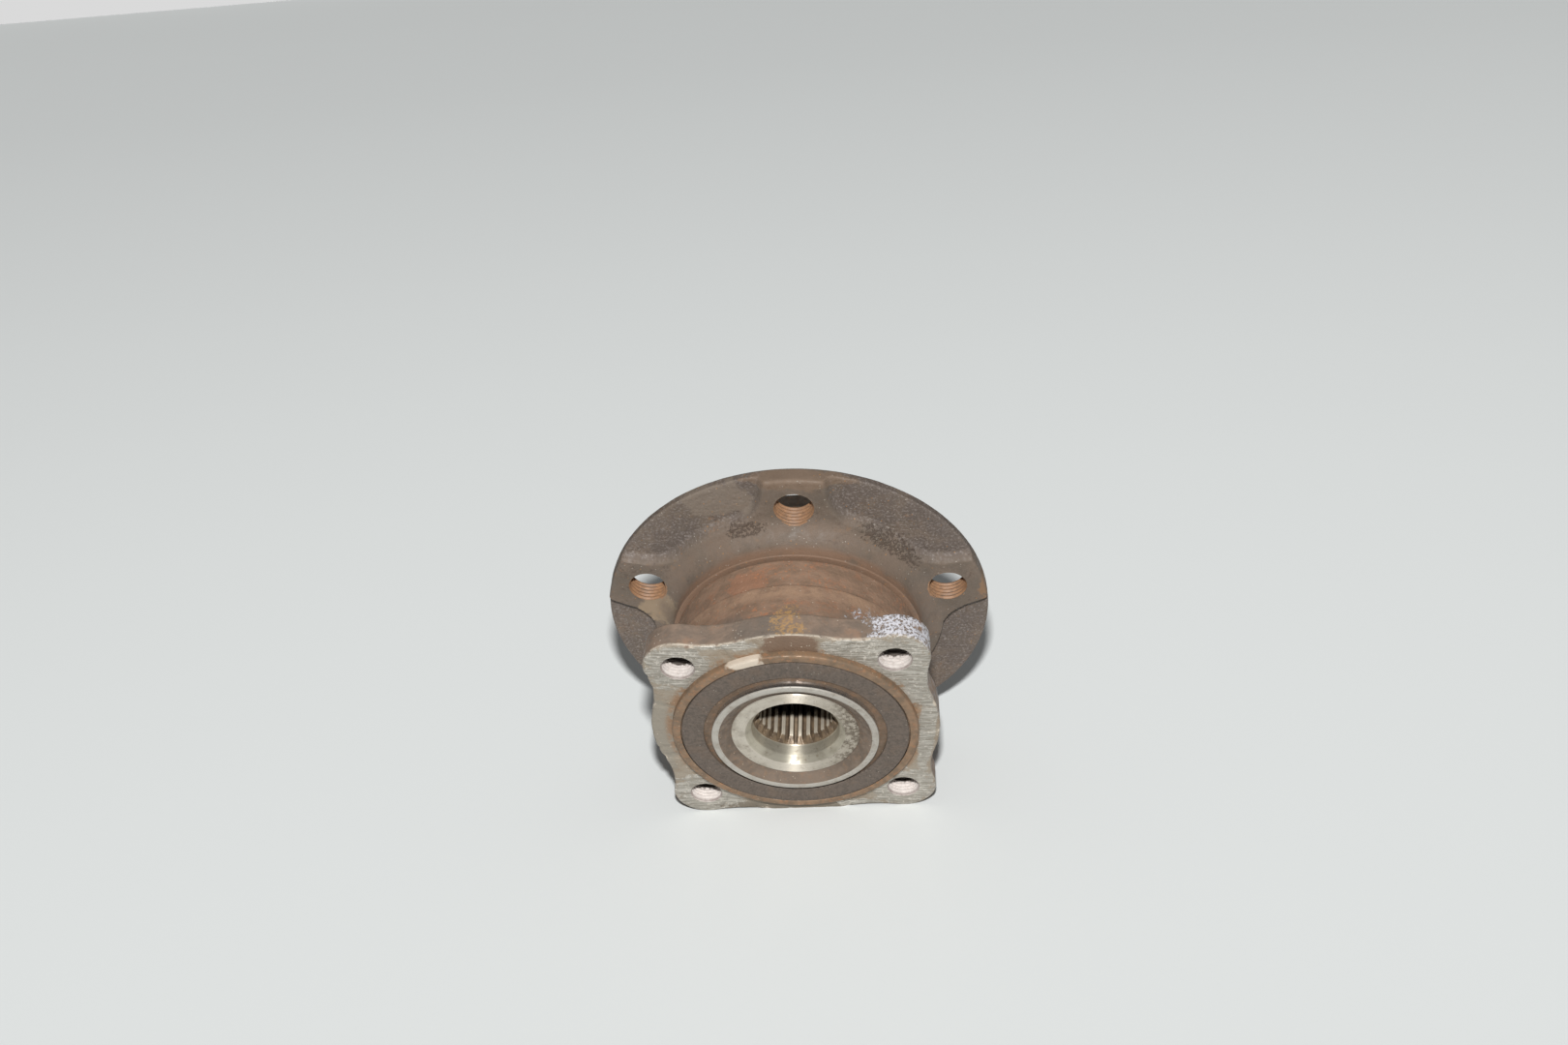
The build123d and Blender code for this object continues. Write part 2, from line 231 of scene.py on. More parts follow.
def boolean(piece, tools, operation):
    """Cuts the tools out of a piece, or joins them to it, and removes them."""
    for tool in tools:
        change = piece.modifiers.new("boolean", "BOOLEAN")
        change.operation = operation
        change.solver = "MANIFOLD"
        change.object = tool
    settled = bpy.context.evaluated_depsgraph_get()
    result = bpy.data.meshes.new_from_object(piece.evaluated_get(settled))
    piece.modifiers.clear()
    piece.data = result
    for tool in tools:
        bpy.data.objects.remove(tool)


def shade(piece, sharpest=38):
    piece.data.shade_smooth()
    piece.data.set_sharp_from_angle(angle=radians(sharpest))


def thread_cutter(name, thread, centre_r, angle, start, end):
    """A tap's shape: V grooves between the minor and the major radius, along one bolt hole."""
    minor, major, pitch = thread
    foot, crest = 0.42 * pitch, 0.06 * pitch
    section = [Vector((start, 0.0)), Vector((start, minor))]
    turns = int((end - start) / pitch)
    for k in range(turns):
        groove = start + (k + 0.5) * pitch
        section += [Vector((groove - foot, minor)), Vector((groove - crest, major)),
                    Vector((groove + crest, major)), Vector((groove + foot, minor))]
    section += [Vector((end, minor)), Vector((end, 0.0))]
    mesh = spun(section, HOLE_STEPS, closed=False, merge=0.001)
    bmesh.ops.translate(mesh, verts=mesh.verts, vec=place(0, centre_r, angle))
    return piece_from(mesh, name)


def mouth_cutter(name, radius, depth, face, centre_r, angle):
    """A cone that breaks the edge of a bolt hole's mouth, which faces inboard."""
    mesh = bmesh.new()
    bmesh.ops.create_cone(mesh, cap_ends=True, segments=HOLE_STEPS, radius1=(radius + depth) * MM,
                          radius2=(radius - 2 * depth) * MM, depth=3 * depth * MM)
    bmesh.ops.transform(mesh, verts=mesh.verts, matrix=Matrix.Rotation(radians(-90), 4, "X"))
    bmesh.ops.translate(mesh, verts=mesh.verts, vec=place(face + depth - 1.5 * depth, centre_r, angle))
    return piece_from(mesh, name)


def hole_distance(radius, angle, circle_r, first, count):
    """Distance in millimetres from the nearest bolt hole's axis."""
    pitch = 360 / count
    off = radians((angle - first + pitch / 2) % pitch - pitch / 2)
    return hypot(radius * cos(off) - circle_r, radius * sin(off))


def weather(piece, depth_at):
    """Moves each vertex into the metal by depth_at(station, radius, angle, co), in millimetres."""
    data = piece.data
    moved = [v.co - v.normal * depth_at(*polar(v.co), v.co / MM) * MM for v in data.vertices]
    for vertex, co in zip(data.vertices, moved):
        vertex.co = co


def grain(co, size):
    """Smooth noise between -1 and 1, with bumps about size millimetres across."""
    return noise.noise(co / size)


# ---- wheel hub

def nearest_pocket(angle):
    """Angle from the middle of the nearest pocket, within half a pitch."""
    pitch = 360 / WHEEL_BOLTS
    first = WHEEL_BOLT_FIRST + pitch / 2
    return (angle - first + pitch / 2) % pitch - pitch / 2


def shape_flange(mesh):
    """Sinks the five pockets into the inboard side of the flange."""
    middle_half = (POCKET_INNER_HALF + POCKET_RIM_HALF) / 2
    half_pitch = 180 / WHEEL_BOLTS
    pocket = mesh.verts.layers.float.new("pocket")
    for vertex in mesh.verts:
        station, radius, angle = polar(vertex.co)
        if radius < POCKET_INNER_R - 3 or not RIM_CHAMFER - 0.01 <= station <= FLANGE_THICKNESS + ROOT_FILLET:
            continue
        off = nearest_pocket(angle)
        share = min(1.0, max(0.0, (radius - POCKET_INNER_R) / (RIM_R - POCKET_INNER_R)))
        edge = POCKET_INNER_HALF + share * (POCKET_RIM_HALF - POCKET_INNER_HALF)
        from_side = radians(middle_half - abs(off)) * radius
        from_inner = radius - POCKET_INNER_R
        inside = min(from_side, from_inner)
        corner = POCKET_CORNER_R
        if from_side < corner and from_inner < corner:
            inside = corner - hypot(corner - from_side, corner - from_inner)
        steep, long = POCKET_WALL_RUN
        run = steep + (long - steep) * smooth_step(12.0, 30.0, vertex.co.z / MM)
        amount = smooth_step(-run / 2, run / 2, inside)
        vertex[pocket] = amount
        if abs(off) < middle_half:
            warped = abs(off) * edge / middle_half
        else:
            warped = edge + (abs(off) - middle_half) * (half_pitch - edge) / (half_pitch - middle_half)
        turned = angle + (warped - abs(off)) * (1 if off > 0 else -1)
        squeeze = (POCKET_FLOOR - RIM_CHAMFER) / (FLANGE_THICKNESS - RIM_CHAMFER)
        sunk = RIM_CHAMFER + (min(station, FLANGE_THICKNESS) - RIM_CHAMFER) * squeeze
        vertex.co = place(station + (sunk - station) * amount, radius, turned)


def shape_spline(mesh):
    """Forms the spline's grooves in the bore."""
    pitch = 360 / SPLINE_TEETH
    for vertex in mesh.verts:
        station, radius, angle = polar(vertex.co)
        if radius > SPLINE_MAJOR_R or not NUT_SEAT - 0.1 < station < LEAD_STEP + 0.1:
            continue
        off = abs((angle + pitch / 2) % pitch - pitch / 2) / pitch
        depth = 1 - smooth_step(0.13, 0.31, off)
        groove = SPLINE_MINOR_R + (SPLINE_MAJOR_R - SPLINE_MINOR_R) * depth
        vertex.co = place(station, max(radius, groove), angle)


def root_fillet(steps=10):
    """Corners of the hollow curve from the flange's face to the root's neck."""
    points = []
    for k in range(steps + 1):
        turn = pi / 2 * k / steps
        points.append((FLANGE_THICKNESS + ROOT_FILLET * (1 - cos(turn)),
                       ROOT_R + ROOT_FILLET * (1 - sin(turn)), 0.0))
    return points


def make_wheel_hub():
    corners = [
        (NUT_SEAT, SPLINE_MINOR_R, 0.0), (NUT_SEAT, NUT_RECESS_R - 0.1, 0.3),
        (1 - PILOT_LENGTH, NUT_RECESS_R, 0.2), (-PILOT_LENGTH, NUT_RECESS_R + 1, 0.2),
        (-PILOT_LENGTH, PILOT_R - 1, 0.3), (1 - PILOT_LENGTH, PILOT_R, 0.3), (FACE_RELIEF, PILOT_R, 0.2),
        (FACE_RELIEF, FACE_RELIEF_R - FACE_RELIEF, 0.1), (0.0, FACE_RELIEF_R, 0.1),
        (0.0, RIM_R - RIM_CHAMFER, 0.4), (RIM_CHAMFER, RIM_R, 0.5), (FLANGE_THICKNESS, RIM_R, RIM_ROUND),
        *root_fillet(), (SEAL_FACE, ROOT_R, 0.5), (SEAL_FACE, LAND_R, 3.2),
    ]
    corners += race(OUTBOARD_ROW, LAND_R, LOW_INNER_R, -1)
    corners += [
        (SPINDLE_SHOULDER, LOW_INNER_R, 0.2), (SPINDLE_SHOULDER, SEAT_R, 0.0),
        (SPINDLE_END, SEAT_R, 0.45), (SPINDLE_END, LEAD_MOUTH_R, 0.25), (LEAD_MOUTH, LEAD_R, 0.3),
        (LEAD_STEP, LEAD_R, 0.25), (SPLINE_RUNOUT, SPLINE_MINOR_R, 0.0),
    ]
    section = divided(softened(corners), 0.5, lambda s, r: (
        r > ROOT_R - 0.7 and s > RIM_CHAMFER or r < LEAD_R + 0.1 and s > SPLINE_RUNOUT - 1.3))
    section = divided(section, 2.5, lambda s, r: s < 1 and r > 37 or r < LEAD_R + 0.5)
    mesh = spun(section, steps=24 * SPLINE_TEETH)
    shape_flange(mesh)
    shape_spline(mesh)
    hub = piece_from(mesh, "wheel_hub_forging")
    cutters = []
    for k in range(WHEEL_BOLTS):
        angle = WHEEL_BOLT_FIRST + 360 * k / WHEEL_BOLTS
        cutters.append(thread_cutter(f"tap_{k}", WHEEL_THREAD, WHEEL_BOLT_R, angle, -1.0, 17.0))
    boolean(hub, cutters, "DIFFERENCE")

    def scale_depth(station, radius, angle, co):
        if station < 0.3 or station > SEAL_FACE - 0.5 or radius < 43.0:
            return 0.0
        rough = 0.05 + 0.05 * grain(co, 4.5) + 0.03 * grain(co, 1.4)
        worn = smooth_step(-0.1, 0.5, grain(co + Vector((7, 3, 1)), 9.0))
        return max(0.0, rough + 0.10 * worn * (0.5 + 0.5 * grain(co, 1.9)))

    weather(hub, scale_depth)
    shade(hub)
    return hub


# ---- outer ring

def plate_radius(angle):
    """The square flange's outline: four lugs on a disc, with hollow waists between them."""
    pitch = 360 / KNUCKLE_BOLTS
    off = radians(abs((angle - LUG_FIRST + pitch / 2) % pitch - pitch / 2))
    hollow_centre_r = PLATE_MIDDLE_R + WAIST_R
    reach = LUG_R + WAIST_R
    cosine = (hollow_centre_r**2 + LUG_CIRCLE_R**2 - reach**2) / (2 * hollow_centre_r * LUG_CIRCLE_R)
    hollow_angle = atan2(sqrt(1 - cosine**2), cosine)
    hollow = Vector((hollow_centre_r * cos(hollow_angle), hollow_centre_r * sin(hollow_angle)))
    lug = Vector((LUG_CIRCLE_R, 0.0))
    meeting = lug + (hollow - lug).normalized() * LUG_R
    if off <= atan2(meeting.y, meeting.x):
        return LUG_CIRCLE_R * cos(off) + sqrt(LUG_R**2 - (LUG_CIRCLE_R * sin(off)) ** 2)
    if off <= hollow_angle:
        turn = off - hollow_angle
        return hollow_centre_r * cos(turn) - sqrt(WAIST_R**2 - (hollow_centre_r * sin(turn)) ** 2)
    return PLATE_MIDDLE_R


def make_plate():
    """The square flange as a closed plate with softened edges and finely divided walls; the nicks along its
    front edge are worn in once it is part of the ring.
    """
    mesh = bmesh.new()
    outer = bmesh.ops.create_circle(mesh, cap_ends=False, segments=PLATE_STEPS, radius=2.0)["verts"]
    inner = bmesh.ops.create_circle(mesh, cap_ends=False, segments=PLATE_STEPS, radius=1.0)["verts"]
    for vertex in outer + inner:
        angle = degrees(atan2(vertex.co.y, vertex.co.x))
        radius = plate_radius(angle) if vertex.co.length > 1.5 else PLATE_HOLE_R
        vertex.co = place(PLATE_BACK, radius, angle)
    bmesh.ops.bridge_loops(mesh, edges=mesh.edges[:])
    swept = bmesh.ops.extrude_face_region(mesh, geom=mesh.faces[:])
    raised = [v for v in swept["geom"] if isinstance(v, bmesh.types.BMVert)]
    bmesh.ops.translate(mesh, verts=raised, vec=(0, (PLATE_BACK - PLATE_FACE) * MM, 0))
    bmesh.ops.recalc_face_normals(mesh, faces=mesh.faces)

    def on_outline(vertex):
        return hypot(vertex.co.x, vertex.co.z) > (PLATE_HOLE_R + 2) * MM

    rims = [e for e in mesh.edges if all(on_outline(v) for v in e.verts)
            and abs(e.verts[0].co.y - e.verts[1].co.y) < 0.01 * MM]
    bmesh.ops.bevel(mesh, geom=rims, offset=PLATE_EDGE_R * MM, affect="EDGES", segments=3, profile=0.5,
                    material=-1, offset_type="OFFSET")
    walls = [e for e in mesh.edges if abs(e.verts[0].co.y - e.verts[1].co.y) > 5 * MM]
    bmesh.ops.subdivide_edges(mesh, edges=walls, cuts=12, use_grid_fill=True)
    return piece_from(mesh, "plate")


def make_outer_ring():
    corners = [
        (RING_END, OUTBOARD_BORE_R + 0.3, 0.2), (RING_END, RING_LAND_R, 0.4),
        (RING_LAND_END, RING_LAND_R, 0.2), (RING_LAND_END + 0.3, RING_BODY_R, 0.2),
        (PLATE_BACK - 1.9, RING_BODY_R, 1.0), (PLATE_BACK + 0.4, RING_BODY_R + 2.3, 0.0),
        (PLATE_FACE - 1, RING_BODY_R + 2.3, 0.0), (PLATE_FACE - 1, SPIGOT_R, 0.0),
        (SPIGOT_END, SPIGOT_R, 0.9), (SPIGOT_END, INBOARD_BORE_R, 0.35),
        (INBOARD_SEAL_STOP, INBOARD_BORE_R, 0.15), (INBOARD_SEAL_STOP, LOW_OUTER_R, 0.1),
    ]
    inboard = race(INBOARD_ROW, HIGH_OUTER_R, LOW_OUTER_R, 1)
    outboard = race(OUTBOARD_ROW, LOW_OUTER_R, HIGH_OUTER_R, 1)
    corners += inboard[::-1] + outboard[::-1]
    corners += [(OUTBOARD_SEAL_STOP, LOW_OUTER_R, 0.1), (OUTBOARD_SEAL_STOP, OUTBOARD_BORE_R, 0.15)]
    section = divided(softened(corners), 0.8, lambda s, r: r > 41.5 and s < PLATE_BACK)
    ring = piece_from(spun(section, steps=RING_STEPS), "outer_ring_forging")
    boolean(ring, [make_plate()], "UNION")
    cutters = []
    for k in range(KNUCKLE_BOLTS):
        angle = LUG_FIRST + 360 * k / KNUCKLE_BOLTS
        cutters.append(thread_cutter(f"knuckle_tap_{k}", KNUCKLE_THREAD, LUG_CIRCLE_R, angle, 45.0, 57.5))
        cutters.append(mouth_cutter(f"knuckle_mouth_{k}", KNUCKLE_THREAD[0] + 0.15, KNUCKLE_CHAMFER,
                                    PLATE_FACE, LUG_CIRCLE_R, angle))
    boolean(ring, cutters, "DIFFERENCE")

    def wear_depth(station, radius, angle, co):
        if radius < 40.5 or station > PLATE_FACE + 0.2:
            return 0.0
        if hole_distance(radius, angle, LUG_CIRCLE_R, LUG_FIRST, KNUCKLE_BOLTS) < KNUCKLE_THREAD[0] + 1.3:
            return 0.0
        if station > PLATE_FACE - 1.0 and radius > plate_radius(angle) - 1.0:
            chipped = smooth_step(0.15, 0.75, grain(co + Vector((3, 0, 9)), 3.4))
            return 0.05 + 0.55 * chipped + 0.06 * grain(co, 1.1)
        if station > PLATE_FACE - 0.3:
            return 0.0
        return max(0.0, 0.05 + 0.06 * grain(co, 5.0) + 0.04 * grain(co, 1.6))

    weather(ring, wear_depth)
    shade(ring)
    return ring


# ---- bearing rings

def make_inner_ring():
    corners = [(SPINDLE_SHOULDER, SEAT_R, 0.0), (SPINDLE_SHOULDER, LOW_INNER_R, 0.2)]
    corners += race(INBOARD_ROW, LOW_INNER_R, LAND_R, -1)
    corners += [
        (INNER_RING_FACE, LAND_R, 0.5), (INNER_RING_FACE, COUNTERSINK_R, 0.35),
        (COUNTERSINK_FLOOR + 0.1, SEAT_R + 0.5, 0.3), (COUNTERSINK_FLOOR, SEAT_R, 0.0),
    ]
    ring = piece_from(spun(softened(corners), steps=SMALL_RING_STEPS), "pressed_inner_ring")
    shade(ring)
    return ring


def make_encoder():
    corners = [(ENCODER_BACK, ENCODER_INNER_R, 0.1), (ENCODER_FACE, ENCODER_INNER_R, 0.25),
               (ENCODER_FACE, ENCODER_OUTER_R, 0.25), (ENCODER_BACK, ENCODER_OUTER_R, 0.1)]
    ring = piece_from(spun(softened(corners), steps=SMALL_RING_STEPS), "magnetic_encoder")
    shade(ring)
    return ring


# ---- node tools

class Tree:
    """Adds nodes to a node tree and feeds their sockets with values or with other sockets."""

    def __init__(self, tree):
        self.tree = tree

    def node(self, kind, feeds=None, **settings):
        made = self.tree.nodes.new(kind)
        for name, value in settings.items():
            setattr(made, name, value)
        for key, value in (feeds or {}).items():
            self.feed(made.inputs[key], value)
        return made

    def feed(self, socket, value):
        if isinstance(value, bpy.types.NodeSocket):
            self.tree.links.new(value, socket)
        else:
            socket.default_value = value

    def math(self, operation, first, second=0.0, clamp=False):
        made = self.node("ShaderNodeMath", operation=operation, use_clamp=clamp)
        self.feed(made.inputs[0], first)
        self.feed(made.inputs[1], second)
        return made.outputs[0]

    def times(self, first, second):
        return self.math("MULTIPLY", first, second)

    def plus(self, first, second):
        return self.math("ADD", first, second)

    def ramp(self, value, low, high, start=0.0, end=1.0):
        made = self.node("ShaderNodeMapRange", interpolation_type="SMOOTHSTEP", feeds={
            "Value": value, "From Min": low, "From Max": high, "To Min": start, "To Max": end})
        return made.outputs[0]

    def mix(self, factor, first, second, blend="MIX"):
        made = self.node("ShaderNodeMix", data_type="RGBA", blend_type=blend)
        self.feed(made.inputs[0], factor)
        self.feed(made.inputs[6], first)
        self.feed(made.inputs[7], second)
        return made.outputs[2]

    def coat(self, colour, mask, share, shade):
        """Lays a shade over the colour where the mask is 1, as thickly as share says."""
        return self.mix(self.times(mask, share), colour, shade)

    def vector(self, operation, *given):
        made = self.node("ShaderNodeVectorMath", operation=operation, feeds=dict(enumerate(given)))
        return made.outputs["Value" if operation in ("LENGTH", "DOT_PRODUCT") else "Vector"]

    def axes(self, x, y, z):
        return self.node("ShaderNodeCombineXYZ", feeds={0: x, 1: y, 2: z}).outputs[0]

    def cloud(self, at, detail, scale=1.0, **more):
        feeds = {"Vector": at, "Scale": scale, "Detail": detail, **more}
        return self.node("ShaderNodeTexNoise", feeds=feeds).outputs[0]

    def use(self, group, **feeds):
        made = self.node("ShaderNodeGroup", node_tree=group)
        for key, value in feeds.items():
            self.feed(made.inputs[key], value)
        return made.outputs[0]


def effect(name, sockets, build):
    """A node group with one output. Sockets are (name, type, default)."""
    group = bpy.data.node_groups.new(name, "ShaderNodeTree")
    for socket_name, kind, default in sockets:
        socket = group.interface.new_socket(socket_name, in_out="INPUT", socket_type="NodeSocket" + kind)
        if default is not None:
            socket.default_value = default
    group.interface.new_socket("Mask", in_out="OUTPUT", socket_type="NodeSocketFloat")
    tree = Tree(group)
    given = tree.node("NodeGroupInput").outputs
    out = tree.node("NodeGroupOutput")
    tree.feed(out.inputs[0], build(tree, given))
    return group


def build_mottle(tree, given):
    scaled = tree.vector("DIVIDE", given["Vector"], given["Size"])
    cloud = tree.cloud(scaled, 4.0, Roughness=0.6, Distortion=given["Swirl"])
    return tree.ramp(cloud, given["Low"], given["High"])


def build_specks(tree, given):
    scaled = tree.vector("DIVIDE", given["Vector"], given["Size"])
    cells = tree.node("ShaderNodeTexVoronoi", feeds={"Vector": scaled, "Scale": 1.0, "Randomness": 1.0})
    chosen = tree.node("ShaderNodeSeparateColor", feeds={0: cells.outputs["Color"]}).outputs[0]
    near = tree.ramp(cells.outputs["Distance"], 0.30, 0.14)
    return tree.times(near, tree.math("LESS_THAN", chosen, given["Share"]))


def build_patch(tree, given):
    off = tree.vector("SUBTRACT", given["Vector"], given["Centre"])
    far = tree.vector("LENGTH", tree.vector("DIVIDE", off, given["Reach"]))
    cloud = tree.cloud(tree.vector("DIVIDE", given["Vector"], given["Grain"]), 5.0, Roughness=0.65)
    ragged = tree.times(tree.math("SUBTRACT", cloud, 0.5), given["Ragged"])
    return tree.ramp(tree.plus(far, ragged), 1.05, 0.8)


def build_scratches(tree, given):
    turned = tree.node("ShaderNodeMapping", vector_type="POINT", feeds={
        "Vector": given["Vector"], "Rotation": given["Turn"], "Scale": given["Stretch"]}).outputs[0]
    return tree.ramp(tree.cloud(turned, 3.0, Roughness=0.7), given["Low"], given["High"])


def build_scale_height(tree, given):
    coarse = tree.cloud(given["Vector"], 6.0, tree.math("DIVIDE", 0.45, given["Size"]), Roughness=0.62)
    pits = tree.node("ShaderNodeTexVoronoi", feature="SMOOTH_F1", feeds={
        "Vector": given["Vector"], "Scale": tree.math("DIVIDE", 1.0, given["Size"]), "Smoothness": 0.7})
    pit_depth = tree.ramp(pits.outputs["Distance"], 0.05, 0.55)
    return tree.plus(tree.times(coarse, 0.75), tree.times(pit_depth, 0.25))


VECTOR = ("Vector", "Vector", None)
MOTTLE = effect("Mottle", [VECTOR, ("Size", "Vector", (1, 1, 1)), ("Low", "Float", 0.4),
                           ("High", "Float", 0.6), ("Swirl", "Float", 0.0)], build_mottle)
SPECKS = effect("Specks", [VECTOR, ("Size", "Vector", (1, 1, 1)), ("Share", "Float", 0.2)], build_specks)
PATCH = effect("Ragged patch", [VECTOR, ("Centre", "Vector", (0, 0, 0)), ("Reach", "Vector", (1, 1, 1)),
                                ("Grain", "Vector", (3, 3, 3)), ("Ragged", "Float", 1.0)], build_patch)
SCRATCHES = effect("Scratches", [VECTOR, ("Turn", "Vector", (0, 0, 0)), ("Stretch", "Vector", (1, 1, 1)),
                                 ("Low", "Float", 0.55), ("High", "Float", 0.62)], build_scratches)
SCALE_HEIGHT = effect("Forged scale height", [VECTOR, ("Size", "Float", 2.0)], build_scale_height)


def tone(red, green, blue):
    """A colour given as it is seen on a screen, 0 to 255, as the linear colour that shaders use."""
    def linear(value):
        share = value / 255
        return share / 12.92 if share <= 0.04045 else ((share + 0.055) / 1.055) ** 2.4
    return (linear(red), linear(green), linear(blue), 1.0)


class Finish(Tree):
    """A material under way: its node tree, the coordinates in millimetres and its Principled shader."""

    def __init__(self, name, metallic=0.0, roughness=0.7, specular=0.35):
        self.material = bpy.data.materials.new(name)
        self.material.use_nodes = True
        super().__init__(self.material.node_tree)
        self.shader = self.tree.nodes["Principled BSDF"]
        self.shader.inputs["Metallic"].default_value = metallic
        self.shader.inputs["Roughness"].default_value = roughness
        self.shader.inputs["Specular IOR Level"].default_value = specular
        where = self.node("ShaderNodeTexCoord").outputs["Object"]
        self.here = self.node("ShaderNodeMapping", feeds={
            "Vector": where, "Scale": (1 / MM, 1 / MM, 1 / MM)}).outputs[0]
        split = self.node("ShaderNodeSeparateXYZ", feeds={0: self.here}).outputs
        self.x, self.z = split[0], split[2]
        self.station = self.times(split[1], -1.0)
        self.radius = self.math("SQRT", self.plus(self.times(self.x, self.x),
                                                  self.times(self.z, self.z)))
        self.turn = self.math("ARCTAN2", self.z, self.x)

    def mottle(self, size, low=0.4, high=0.6, swirl=0.0, at=None):
        return self.use(MOTTLE, Vector=at or self.here, Size=(size,) * 3, Low=low, High=high, Swirl=swirl)

    def specks(self, size, share):
        return self.use(SPECKS, Vector=self.here, Size=(size,) * 3, Share=share)

    def patch(self, centre, reach, grain_size=3.0, ragged=1.0, at=None):
        """Centre is (x, station, z), or (arc, station, radius) with arc coordinates. Reach is half sizes."""
        side = 1 if at else -1
        return self.use(PATCH, Vector=at or self.here, Centre=(centre[0], side * centre[1], centre[2]),
                        Reach=reach, Grain=(grain_size,) * 3, Ragged=ragged)

    def yellow_rust(self, centre, reach):
        return self.times(self.patch(centre, reach, 2.0, 2.6), self.mottle(1.2, 0.4, 0.6))

    def flakes(self, centre, reach, low):
        """White flakes in clusters. A lower low gives more of them."""
        clusters = self.times(self.patch(centre, reach, 2.4, 1.9), self.mottle(4.5, 0.34, 0.46))
        return self.times(clusters, self.mottle(0.9, low, low + 0.14))

    def scratches(self, lean, along, across, low, high):
        """Scratches on the knuckle face, leaning by an angle in degrees. Along and across set their shape."""
        return self.use(SCRATCHES, Vector=self.here, Turn=(0, radians(lean), 0), Stretch=(along, 1.0, across),
                        Low=low, High=high)

    def arc(self, radius, along=1.0):
        """Coordinates that follow a turned surface: round the axis at a radius, along it and out from it."""
        return self.axes(self.times(self.turn, radius), self.times(self.station, along), self.radius)

    def across_the_turning(self, amount):
        """Stretches reflections across the tool's rings, as on any turned surface."""
        around = self.axes(self.z, 0.0, self.times(self.x, -1.0))
        facing = self.node("ShaderNodeNewGeometry").outputs["Normal"]
        across = self.vector("CROSS_PRODUCT", facing, around)
        self.shader.inputs["Anisotropic"].default_value = amount
        self.feed(self.shader.inputs["Tangent"], self.vector("NORMALIZE", across))

    def done(self, colour, roughness=None, metallic=None, height=None, depth=0.1):
        self.feed(self.shader.inputs["Base Color"], colour)
        if roughness is not None:
            self.feed(self.shader.inputs["Roughness"], roughness)
        if metallic is not None:
            self.feed(self.shader.inputs["Metallic"], metallic)
        if height is not None:
            bump = self.node("ShaderNodeBump", feeds={
                "Height": height, "Strength": 1.0, "Distance": depth * MM})
            self.feed(self.shader.inputs["Normal"], bump.outputs[0])
        return self.material


# ---- finishes

def forged_flange():
    """Grey-brown forged steel, rough and darker in the pockets, with crusts of scale and thin rust."""
    f = Finish("forged_flange", roughness=0.62, specular=0.35)
    pocket = f.node("ShaderNodeAttribute", attribute_name="pocket").outputs["Fac"]
    rings = f.arc(50.0)
    colour = f.mix(f.mottle(14, 0.35, 0.65), tone(99, 88, 77), tone(113, 99, 87))
    colour = f.coat(colour, f.mottle(5, 0.45, 0.75), 0.5, tone(93, 84, 76))
    colour = f.coat(colour, pocket, f.mottle(9, 0.3, 0.6, 0.3), tone(95, 85, 78))
    grains = f.times(f.mottle(0.8, 0.5, 0.64), f.plus(f.times(pocket, 0.5), 0.12))
    colour = f.mix(grains, colour, tone(134, 125, 120))
    crumbs = f.times(f.mottle(1.0, 0.5, 0.62), f.mottle(7, 0.5, 0.65, 0.5))
    colour = f.coat(colour, crumbs, 0.55, tone(76, 63, 55))
    rust = f.times(f.mottle(2.4, 0.54, 0.7), f.mottle(16, 0.48, 0.66, at=rings))
    colour = f.coat(colour, rust, 0.5, tone(134, 102, 73))
    rim_rust = f.patch((64.0, 5.0, 19.0), (3.0, 4, 9), 2.0, 1.6)
    colour = f.coat(colour, rim_rust, 0.5, tone(145, 108, 73))
    top_rim = f.patch((0.0, 5.0, 65.0), (26, 4, 3.5), 4.0, 1.4)
    colour = f.coat(colour, top_rim, 0.5, tone(125, 103, 84))
    # Painted light: a lighter patch in the upper-left pocket, where light falls on it.
    light = f.patch((-28.0, 5.0, 55.0), (14, 6, 8.5), 7.0, 1.6)
    colour = f.coat(colour, light, 0.75, tone(122, 110, 98))
    olive = f.patch((-47.0, 11.0, 5.0), (9, 9, 9), 5.0, 1.3)
    colour = f.coat(colour, olive, 0.85, tone(148, 129, 106))
    root = f.times(f.ramp(f.radius, 51.0, 47.0), f.mottle(9, 0.35, 0.6))
    colour = f.coat(colour, root, 0.7, tone(113, 97, 84))
    neck = f.times(f.ramp(f.station, 12.5, 16.0), f.mottle(6, 0.2, 0.5))
    colour = f.coat(colour, neck, 0.85, tone(126, 99, 80))
    scab_right = f.patch((44.5, 5.0, 48.5), (17, 5, 3.6), 1.6, 1.3, at=rings)
    scab_left = f.patch((97.0, 6.0, 48.0), (8, 5, 3.0), 1.6, 1.3, at=rings)
    scab = f.times(f.math("MAXIMUM", scab_right, scab_left), f.mottle(1.0, 0.42, 0.58))
    colour = f.coat(colour, scab, 0.7, tone(72, 59, 50))
    colour = f.coat(colour, f.specks(0.8, 0.05), 0.7, tone(176, 168, 158))
    colour = f.coat(colour, f.specks(0.9, 0.04), 0.8, tone(169, 120, 70))
    height = f.use(SCALE_HEIGHT, Vector=f.here, Size=1.7)
    fine = f.use(SCALE_HEIGHT, Vector=f.here, Size=0.6)
    height = f.plus(f.times(height, f.plus(f.times(pocket, 0.9), 0.35)),
                    f.times(fine, 0.35))
    height = f.plus(height, f.times(scab, 0.6))
    rough = f.ramp(f.mottle(3.5, 0.3, 0.7), 0, 1, 0.5, 0.78)
    return f.done(colour, rough, height=height, depth=0.3)


